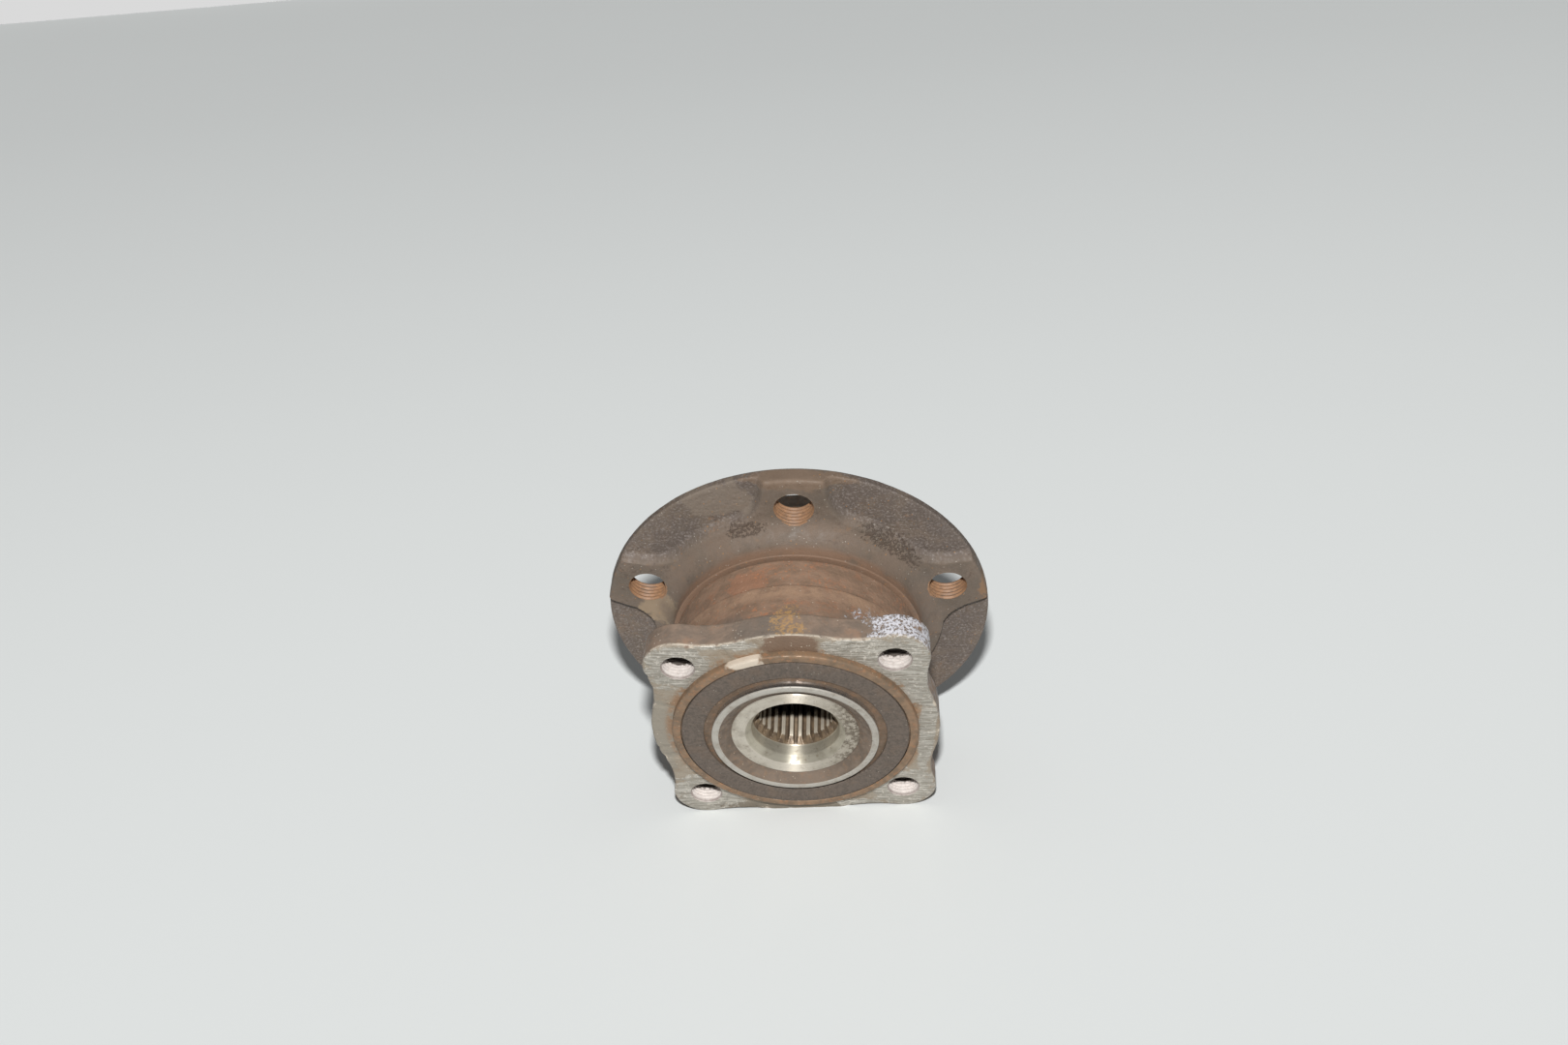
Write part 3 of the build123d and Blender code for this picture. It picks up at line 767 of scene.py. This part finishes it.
def rusty_body():
    """Turned steel under brown and orange rust, with a lighter band and a white flaky patch."""
    f = Finish("rusty_body", roughness=0.68, specular=0.3)
    colour = f.mix(f.mottle(8, 0.35, 0.65, at=f.arc(42.0, 2.0)), tone(123, 101, 84), tone(141, 115, 96))
    colour = f.coat(colour, f.mottle(3.0, 0.5, 0.7), 0.55, tone(144, 105, 81))
    red = f.patch((-17.0, 26.0, 38.0), (9, 5, 6), 4.0, 1.8)
    colour = f.coat(colour, red, 0.6, tone(150, 108, 84))
    ember = f.times(f.mottle(1.2, 0.54, 0.66), f.mottle(9, 0.45, 0.62, at=f.arc(42.0, 1.5)))
    colour = f.coat(colour, ember, 0.7, tone(170, 114, 81))
    band = f.times(f.ramp(f.station, 29.6, 31.0), f.ramp(f.station, 37.0, 33.0))
    colour = f.coat(colour, band, f.mottle(5, 0.3, 0.6), tone(152, 124, 102))
    # Painted shade: the body is painted greyer and darker towards the square flange, where it flares into the
    # plate.
    dark = f.times(f.ramp(f.station, 37.0, 42.5), f.mottle(8, 0.38, 0.6, at=f.arc(42.0, 0.5)))
    colour = f.coat(colour, dark, 0.7, tone(108, 97, 88))
    yellow = f.yellow_rust((-3.0, 45.0, 43.0), (5.0, 6, 4))
    colour = f.coat(colour, yellow, 0.7, tone(173, 135, 84))
    flaky = f.flakes((29.0, 42.0, 38.0), (11, 9, 9), 0.40)
    colour = f.mix(flaky, colour, tone(201, 199, 203))
    colour = f.coat(colour, f.specks(0.8, 0.05), 0.6, tone(199, 184, 167))
    height = f.plus(f.use(SCALE_HEIGHT, Vector=f.here, Size=1.5),
                    f.times(f.use(SCALE_HEIGHT, Vector=f.here, Size=0.5), 0.4))
    height = f.plus(height, f.times(flaky, 0.7))
    return f.done(colour, f.ramp(f.mottle(3), 0, 1, 0.55, 0.82), height=height, depth=0.26)


def plate_wall():
    """The square flange's edge: grey-brown scale with rust, a yellow spot and chipped bright spots."""
    f = Finish("plate_wall", roughness=0.55, specular=0.4)
    colour = f.mix(f.mottle(6, 0.35, 0.65), tone(121, 107, 95), tone(139, 119, 103))
    colour = f.coat(colour, f.mottle(5, 0.5, 0.66), 0.6, tone(151, 121, 99))
    grey = f.patch((-14.0, 50.0, 46.0), (12, 7, 4), 4.0, 1.8)
    colour = f.coat(colour, grey, 0.7, tone(112, 103, 94))
    yellow = f.yellow_rust((-3.0, 51.0, 47.5), (5.5, 7, 4))
    colour = f.coat(colour, yellow, 0.7, tone(181, 142, 92))
    flaky = f.flakes((34.0, 50.0, 45.0), (13, 8, 9), 0.38)
    colour = f.mix(flaky, colour, tone(211, 210, 215))
    edge = f.times(f.ramp(f.station, PLATE_FACE - 1.4, PLATE_FACE - 0.7), f.mottle(2.0, 0.36, 0.56))
    colour = f.coat(colour, edge, 0.8, tone(197, 186, 169))
    colour = f.coat(colour, f.specks(0.9, 0.06), 0.7, tone(207, 195, 181))
    height = f.plus(f.use(SCALE_HEIGHT, Vector=f.here, Size=1.4), f.times(flaky, 0.8))
    return f.done(colour, f.ramp(f.mottle(3), 0, 1, 0.42, 0.7), height=height, depth=0.25)


def scraped_face():
    """Brown residue on the knuckle face, scraped back to bare steel round the bolt holes."""
    f = Finish("scraped_face", metallic=0.2, roughness=0.5, specular=0.4)
    long = f.scratches(38, 0.16, 2.8, 0.44, 0.60)
    cross = f.scratches(-52, 0.13, 3.6, 0.5, 0.62)
    fine = f.scratches(30, 0.3, 6.0, 0.5, 0.6)
    bare = f.patch((43.0, PLATE_FACE, 6.0), (3.0, 3, 30), 3.0, 1.2)
    strips = [((-25.0, 43.0), (13, 3, 3.5)), ((-25.0, -41.0), (8, 3, 2.5)), ((24.0, -41.5), (9, 3, 3.0)),
              ((20.0, 41.5), (14, 3, 6.0)), ((38.5, 25.0), (6, 3, 10))]
    for k in range(KNUCKLE_BOLTS):
        turn = radians(LUG_FIRST + 360 * k / KNUCKLE_BOLTS)
        strips.append(((LUG_CIRCLE_R * cos(turn), LUG_CIRCLE_R * sin(turn)), (12.5, 3, 12)))
    for (x, z), reach in strips:
        bare = f.math("MAXIMUM", bare, f.patch((x, PLATE_FACE, z), reach, 2.5, 1.7))
    colour = f.mix(f.mottle(5, 0.35, 0.65), tone(136, 121, 103), tone(147, 136, 121))
    colour = f.coat(colour, fine, 0.6, tone(161, 152, 138))
    left = f.patch((-46.0, PLATE_FACE, -6.0), (8, 3, 24), 4.0, 1.2)
    colour = f.coat(colour, left, 0.8, tone(141, 134, 122))
    foot = f.ramp(f.z, -39.5, -43.0)
    colour = f.coat(colour, foot, 0.8, tone(114, 105, 92))
    steel = f.mix(long, tone(147, 141, 130), tone(198, 193, 183))
    steel = f.coat(steel, cross, 0.5, tone(130, 119, 105))
    steel = f.coat(steel, f.mottle(1.2, 0.56, 0.66), 0.6, tone(218, 211, 200))
    colour = f.mix(bare, colour, steel)
    rust = f.times(f.ramp(f.radius, 43.6, 41.2), f.mottle(3, 0.38, 0.56))
    rust = f.times(rust, f.math("SUBTRACT", 1.0, bare, clamp=True))
    colour = f.coat(colour, rust, 0.75, tone(141, 108, 79))
    unscraped = f.patch((-2.0, PLATE_FACE, 42.5), (9.5, 3, 6.5), 2.5, 0.8)
    colour = f.coat(colour, unscraped, 0.95, tone(114, 92, 75))
    colour = f.coat(colour, f.specks(0.8, 0.08), 0.7, tone(216, 205, 187))
    metallic = f.times(f.math("SUBTRACT", bare, f.math("MAXIMUM", rust, unscraped), clamp=True), 0.3)
    height = f.plus(f.times(long, 0.6), f.times(cross, -0.3))
    height = f.plus(f.times(height, bare), f.times(f.mottle(1.0), 0.7))
    return f.done(colour, f.ramp(bare, 0, 1, 0.66, 0.42), metallic, height, 0.08)


def rusty_thread(name, rust, pale, deep, painted_shade_from=None):
    """Rust and old residue on a tapped wall, with painted shade that darkens it deeper in the hole than the
    station painted_shade_from.
    """
    f = Finish(name, roughness=0.55, specular=0.4)
    colour = f.mix(f.mottle(1.4, 0.35, 0.65), rust, pale)
    colour = f.coat(colour, f.mottle(0.7, 0.52, 0.66), 0.5, deep)
    if painted_shade_from:
        # Painted shade: the wall deeper than painted_shade_from is painted dark, standing for the shade
        # inside the hole.
        uneven = f.plus(f.station, f.times(f.mottle(1.2, 0.3, 0.7), 0.8))
        colour = f.mix(f.ramp(uneven, painted_shade_from + 0.5, painted_shade_from - 0.3), colour, tone(82, 73, 66))
    height = f.use(SCALE_HEIGHT, Vector=f.here, Size=0.5)
    return f.done(colour, height=height, depth=0.08)


def ground_steel(name, bright, dull, pit_share, metallic=0.75, roughness=0.3, sheen=0.0):
    """Turned or ground bearing steel: fine rings round the axis, light stains and small dark pits."""
    f = Finish(name, metallic=metallic, roughness=roughness, specular=0.5)
    if sheen:
        f.across_the_turning(sheen)
    rings = f.axes(f.times(f.turn, 0.8), f.times(f.station, 7.0), f.times(f.radius, 7.0))
    lathe = f.ramp(f.cloud(rings, 2.0), 0.3, 0.7)
    stain = f.mottle(4.5, 0.42, 0.7)
    colour = f.coat(bright, lathe, 0.35, dull)
    colour = f.coat(colour, stain, 0.5, dull)
    colour = f.coat(colour, f.mottle(1.6, 0.58, 0.7), 0.4, tone(122, 104, 84))
    pits = f.times(f.specks(0.9, pit_share), f.mottle(6, 0.4, 0.6))
    pits = f.times(pits, f.ramp(f.x, -8.0, 14.0, 0.25, 1.0))
    worn = f.times(f.ramp(f.x, 6.0, 20.0), f.mottle(1.3, 0.44, 0.56))
    colour = f.coat(colour, f.ramp(f.x, 2.0, 20.0), 0.5 * min(1.0, pit_share), tone(138, 126, 108))
    colour = f.coat(colour, worn, min(1.0, pit_share), tone(106, 94, 80))
    colour = f.coat(colour, pits, 0.9, tone(66, 56, 48))
    height = f.plus(f.times(lathe, 0.3), f.times(pits, -1.0))
    rough = f.plus(f.ramp(stain, 0, 1, roughness, roughness + 0.2), f.times(pits, 0.3))
    return f.done(colour, rough, f.ramp(pits, 0, 1, metallic, 0.1), height, 0.03)


def rusty_land(name, base, shade_tone, spots, painted_highlight=None):
    """Machined steel gone brown, with grime and, where painted_highlight says so, one bright stretch of
    scraped steel that is painted as bright as a highlight.
    """
    f = Finish(name, metallic=0.2, roughness=0.55, specular=0.4)
    colour = f.mix(f.mottle(5, 0.35, 0.65), base, shade_tone)
    colour = f.coat(colour, f.mottle(1.6, 0.5, 0.68), 0.6, spots)
    colour = f.coat(colour, f.specks(0.7, 0.06), 0.6, tone(206, 190, 168))
    if painted_highlight:
        # Painted highlight: scraped steel, painted as bright as the highlight on the spigot's edge.
        scraped = f.patch(*painted_highlight)
        colour = f.coat(colour, scraped, 0.9, tone(214, 201, 184))
    height = f.use(SCALE_HEIGHT, Vector=f.here, Size=0.8)
    return f.done(colour, f.ramp(f.mottle(2.5), 0, 1, 0.42, 0.68), height=height, depth=0.08)


def encoder_rubber():
    """Granular magnetic rubber, dusty, with faint streaks that run outwards."""
    f = Finish("encoder_rubber", roughness=0.72, specular=0.3)
    spokes = f.axes(f.times(f.turn, 24.0), 0.0, f.times(f.radius, 0.25))
    streaks = f.ramp(f.cloud(spokes, 3.0), 0.42, 0.62)
    colour = f.mix(f.mottle(0.8, 0.35, 0.65), tone(84, 76, 69), tone(102, 91, 82))
    colour = f.coat(colour, streaks, 0.35, tone(110, 98, 89))
    colour = f.coat(colour, f.mottle(6, 0.5, 0.7), 0.3, tone(114, 95, 79))
    colour = f.coat(colour, f.specks(0.8, 0.12), 0.7, tone(57, 50, 45))
    colour = f.coat(colour, f.specks(0.7, 0.05), 0.7, tone(170, 162, 150))
    height = f.plus(f.use(SCALE_HEIGHT, Vector=f.here, Size=0.6), f.times(streaks, 0.3))
    return f.done(colour, height=height, depth=0.16)


def spline_steel():
    """The splined bore: brown grooves between narrow worn lands, with painted shade that darkens it further
    in.
    """
    f = Finish("spline_steel", metallic=0.35, roughness=0.42, specular=0.5)
    f.across_the_turning(0.8)
    land = f.ramp(f.radius, SPLINE_MINOR_R + 0.5, SPLINE_MINOR_R + 0.1)
    colour = f.mix(f.mottle(2.5, 0.35, 0.65), tone(124, 106, 85), tone(94, 80, 66))
    colour = f.coat(colour, land, 0.8, tone(190, 181, 165))
    # Painted shade: further in than station 41 the bore is painted dark, standing for the shade deep inside
    # it.
    colour = f.mix(f.ramp(f.station, 41.0, 38.5), colour, tone(54, 48, 43))
    return f.done(colour, height=f.use(SCALE_HEIGHT, Vector=f.here, Size=0.7), depth=0.04)


def plain_finish(name, colour, second, roughness, metallic=0.0, size=2.0):
    """A quiet surface for the inner pieces: two close tones and a fine grain."""
    f = Finish(name, metallic=metallic, roughness=roughness, specular=0.45)
    shade_mix = f.mix(f.mottle(size, 0.35, 0.65), colour, second)
    fine = f.cloud(f.here, 3.0, 2.0)
    uneven = f.ramp(f.mottle(size * 2), 0, 1, roughness, roughness + 0.12)
    return f.done(shade_mix, uneven, height=fine, depth=0.02)


# ---- dressing

def dress(piece, materials, choose):
    """Gives each face one of the materials by choose(station, radius, angle, normal)."""
    data = piece.data
    data.materials.clear()
    names = list(materials)
    for name in names:
        data.materials.append(materials[name])
    for face in data.polygons:
        station, radius, angle = polar(face.center)
        face.material_index = names.index(choose(station, radius, angle, face.normal))


def hub_surface(station, radius, angle, normal):
    if station < 16 and radius > 40:
        away = hole_distance(radius, angle, WHEEL_BOLT_R, WHEEL_BOLT_FIRST, WHEEL_BOLTS)
        if away < WHEEL_THREAD[1] + 0.05 and abs(normal.y) < 0.95:
            return "thread"
    if station > SPINDLE_END - 0.7 and radius > LEAD_MOUTH_R - 0.3:
        return "end"
    if station > LEAD_STEP - 0.2 and radius < LEAD_MOUTH_R + 0.5:
        return "lead"
    if radius < LEAD_R + 0.1 and station > NUT_SEAT - 0.1:
        return "spline"
    if station < FACE_RELIEF + 0.05 and (normal.y > 0.3 or radius < FACE_RELIEF_R + 0.4):
        return "machined"
    if station < NUT_SEAT + 0.1 and radius < NUT_RECESS_R + 1:
        return "machined"
    if station > SEAL_FACE + 0.1 and radius < 30:
        return "ground"
    return "forged"


def ring_surface(station, radius, angle, normal):
    away = hole_distance(radius, angle, LUG_CIRCLE_R, LUG_FIRST, KNUCKLE_BOLTS)
    if station > PLATE_BACK - 0.5 and away < 6.6 and radius > 41.5 and abs(normal.y) < 0.95:
        return "thread" if abs(normal.y) < 0.6 or station < PLATE_FACE - 1.2 else "rim"
    if radius < SPIGOT_R + 0.05 and station > PLATE_FACE - 0.1:
        return "spigot" if radius > INBOARD_BORE_R + 0.4 or normal.y < -0.5 else "bore"
    if radius < 40.5:
        return "bore"
    if station > PLATE_FACE - 0.4 and normal.y < -0.6:
        return "face"
    if station > PLATE_BACK - 0.05 and radius > PLATE_MIDDLE_R - 1.2:
        return "wall"
    return "body"


def build_pieces():
    hub = make_wheel_hub()
    wheel_thread = rusty_thread("rusty_wheel_thread", tone(130, 100, 76), tone(154, 116, 85),
                                tone(92, 72, 58))
    end = ground_steel("spindle_end_steel", tone(212, 205, 192), tone(172, 162, 146), 0.8, 0.6, 0.5, 0.9)
    lead = ground_steel("lead_bore_steel", tone(196, 190, 174), tone(154, 145, 128), 0.1, 0.7, 0.42, 0.9)
    ground = ground_steel("raceway_steel", tone(206, 206, 206), tone(176, 176, 174), 0.0, 0.95, 0.12)
    dress(hub, {
        "forged": forged_flange(), "thread": wheel_thread, "end": end, "lead": lead, "spline": spline_steel(),
        "machined": rusty_land("machined_mounting_face", tone(140, 126, 112), tone(118, 104, 92),
                               tone(148, 114, 88)),
        "ground": ground,
    }, hub_surface)
    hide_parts("wheel_hub")
    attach(hub, "hub")

    ring = make_outer_ring()
    # The spigot's bright stretch at the top left is scraped steel with a painted highlight.
    spigot = rusty_land("spigot_rust", tone(138, 112, 88), tone(116, 98, 80), tone(158, 116, 84),
                        painted_highlight=((-17.0, 57.0, 37.0), (7.5, 2.5, 4.5), 2.0, 0.8))
    # The knuckle threads get painted shade deeper in than station 50.5.
    knuckle_thread = rusty_thread("pale_knuckle_thread", tone(196, 188, 182), tone(214, 206, 200),
                                  tone(150, 136, 126), painted_shade_from=50.5)
    mouth = rusty_thread("stained_bolt_mouth", tone(142, 130, 124), tone(162, 152, 146), tone(104, 90, 82))
    dress(ring, {
        "body": rusty_body(), "wall": plate_wall(), "face": scraped_face(), "thread": knuckle_thread,
        "rim": mouth, "spigot": spigot, "bore": ground,
    }, ring_surface)
    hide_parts("outer_ring")
    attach(ring, "root")

    inner = make_inner_ring()
    face = ground_steel("inner_ring_face_steel", tone(182, 178, 170), tone(150, 141, 128), 0.14, 0.35, 0.5)
    cone = rusty_land("inner_ring_cone_rust", tone(118, 103, 90), tone(100, 88, 77), tone(130, 106, 86))
    dress(inner, {"face": face, "cone": cone, "ground": ground}, lambda s, r, a, n: (
        "face" if s > 59.3 and r > 25.0 else "cone" if s > 56.9 and r < 25.3 else "ground"))
    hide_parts("inner_ring")
    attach(inner, "hub")

    encoder = make_encoder()
    encoder.data.materials.append(encoder_rubber())
    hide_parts("encoder_ring")
    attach(encoder, "hub")

    sheet_steel = rusty_land("seal_sheet_rust", tone(118, 97, 79), tone(101, 85, 70), tone(134, 102, 76))
    rubber = plain_finish("seal_rubber_black", tone(34, 33, 33), tone(44, 42, 40), 0.55, size=3.0)
    nylon = plain_finish("cage_nylon_cream", tone(206, 192, 158), tone(192, 176, 140), 0.5, size=4.0)
    ball = plain_finish("lapped_ball_steel", tone(205, 205, 206), tone(196, 196, 198), 0.08, 1.0, 6.0)
    for name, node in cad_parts.items():
        if name in ("wheel_hub", "outer_ring", "inner_ring", "encoder_ring"):
            continue
        if "ball" in name:
            finish = ball
        elif "cage" in name:
            finish = nylon
        elif "lip" in name:
            finish = rubber
        else:
            finish = sheet_steel
        for slot in node.material_slots:
            slot.material = finish


# ---- table, light and camera

def make_table():
    """The hub lies on its rim and on two ears of the square flange, so the table is tilted to the axis."""
    lean = radians(LUG_FIRST - 45)
    below_ear = LUG_CIRCLE_R * cos(radians(45)) + LUG_R
    rim_edge = FLANGE_THICKNESS - RIM_ROUND
    rise = atan2(RIM_R - below_ear, PLATE_FACE - 0.8 - rim_edge)
    up = Vector((-sin(lean) * cos(rise), sin(rise), cos(lean) * cos(rise)))
    touch = place(rim_edge, 0) + Vector((sin(lean), 0, -cos(lean))) * RIM_R * MM
    mesh = bmesh.new()
    bmesh.ops.create_grid(mesh, x_segments=1, y_segments=1, size=TABLE_HALF)
    turn = up.to_track_quat("Z", "Y").to_matrix().to_4x4()
    bmesh.ops.transform(mesh, verts=mesh.verts, matrix=Matrix.Translation(touch) @ turn)
    table = piece_from(mesh, "table")
    f = Finish("pale_table", roughness=0.3, specular=0.15)
    finish = f.done(tone(221, 224, 223))
    clear = f.node("ShaderNodeBsdfTransparent").outputs[0]
    behind = f.node("ShaderNodeNewGeometry").outputs["Backfacing"]
    one_sided = f.node("ShaderNodeMixShader", feeds={0: behind, 1: f.shader.outputs[0], 2: clear}).outputs[0]
    f.feed(f.tree.nodes["Material Output"].inputs["Surface"], one_sided)
    table.data.materials.append(finish)
    return up


def light_studio(up_from_table):
    """A small lamp just above the camera, which lights the table evenly, and a weak fill from overhead."""
    world = bpy.data.worlds.new("studio")
    world.use_nodes = True
    tree = Tree(world.node_tree)
    sky = world.node_tree.nodes["Background"]
    sky.inputs["Color"].default_value = (1.0, 1.0, 1.0, 1.0)
    seen = tree.node("ShaderNodeLightPath").outputs["Is Camera Ray"]
    incoming = tree.node("ShaderNodeNewGeometry").outputs["Incoming"]
    overhead = tree.ramp(tree.vector("DOT_PRODUCT", incoming, up_from_table), -0.3, -0.8, 0.0, SKY_FILL)
    tree.feed(sky.inputs["Strength"], tree.ramp(seen, 0.0, 1.0, overhead, SKY_SEEN))
    bpy.context.scene.world = world
    up = Vector(VIEW_UP)
    side = Vector(VIEW_FORWARD).cross(up).normalized()
    key = bpy.data.lights.new("key", "POINT")
    key.energy = LAMP_WATTS
    key.shadow_soft_size = LAMP_R * MM
    key.use_nodes = True
    tree = Tree(key.node_tree)
    even = tree.node("ShaderNodeLightFalloff", feeds={"Strength": 1.0}).outputs["Constant"]
    reach = tree.node("ShaderNodeLightPath").outputs["Ray Length"]
    tree.feed(tree.tree.nodes["Emission"].inputs["Strength"], tree.times(even, reach))
    lamp = bpy.data.objects.new("key", key)
    bpy.context.scene.collection.objects.link(lamp)
    lamp.location = (Vector(CAMERA_MM) + up * LAMP_ABOVE - side * LAMP_LEFT) * MM


def place_camera():
    """Looks down at the knuckle side. The axes of its frame are those of the fitted view."""
    lens = bpy.data.cameras.new("camera")
    lens.sensor_width = SENSOR_WIDTH
    lens.lens = SENSOR_WIDTH * LENS_PER_SENSOR
    camera = bpy.data.objects.new("camera", lens)
    bpy.context.scene.collection.objects.link(camera)
    forward = Vector(VIEW_FORWARD).normalized()
    up = Vector(VIEW_UP)
    side = forward.cross(up).normalized()
    up = side.cross(forward)
    turn = Matrix((side, up, -forward)).transposed().to_4x4()
    camera.matrix_world = Matrix.Translation(Vector(CAMERA_MM) * MM) @ turn
    bpy.context.scene.camera = camera


build_pieces()
table_up = make_table()
light_studio(table_up)
place_camera()
bpy.context.scene.view_settings.view_transform = "Standard"
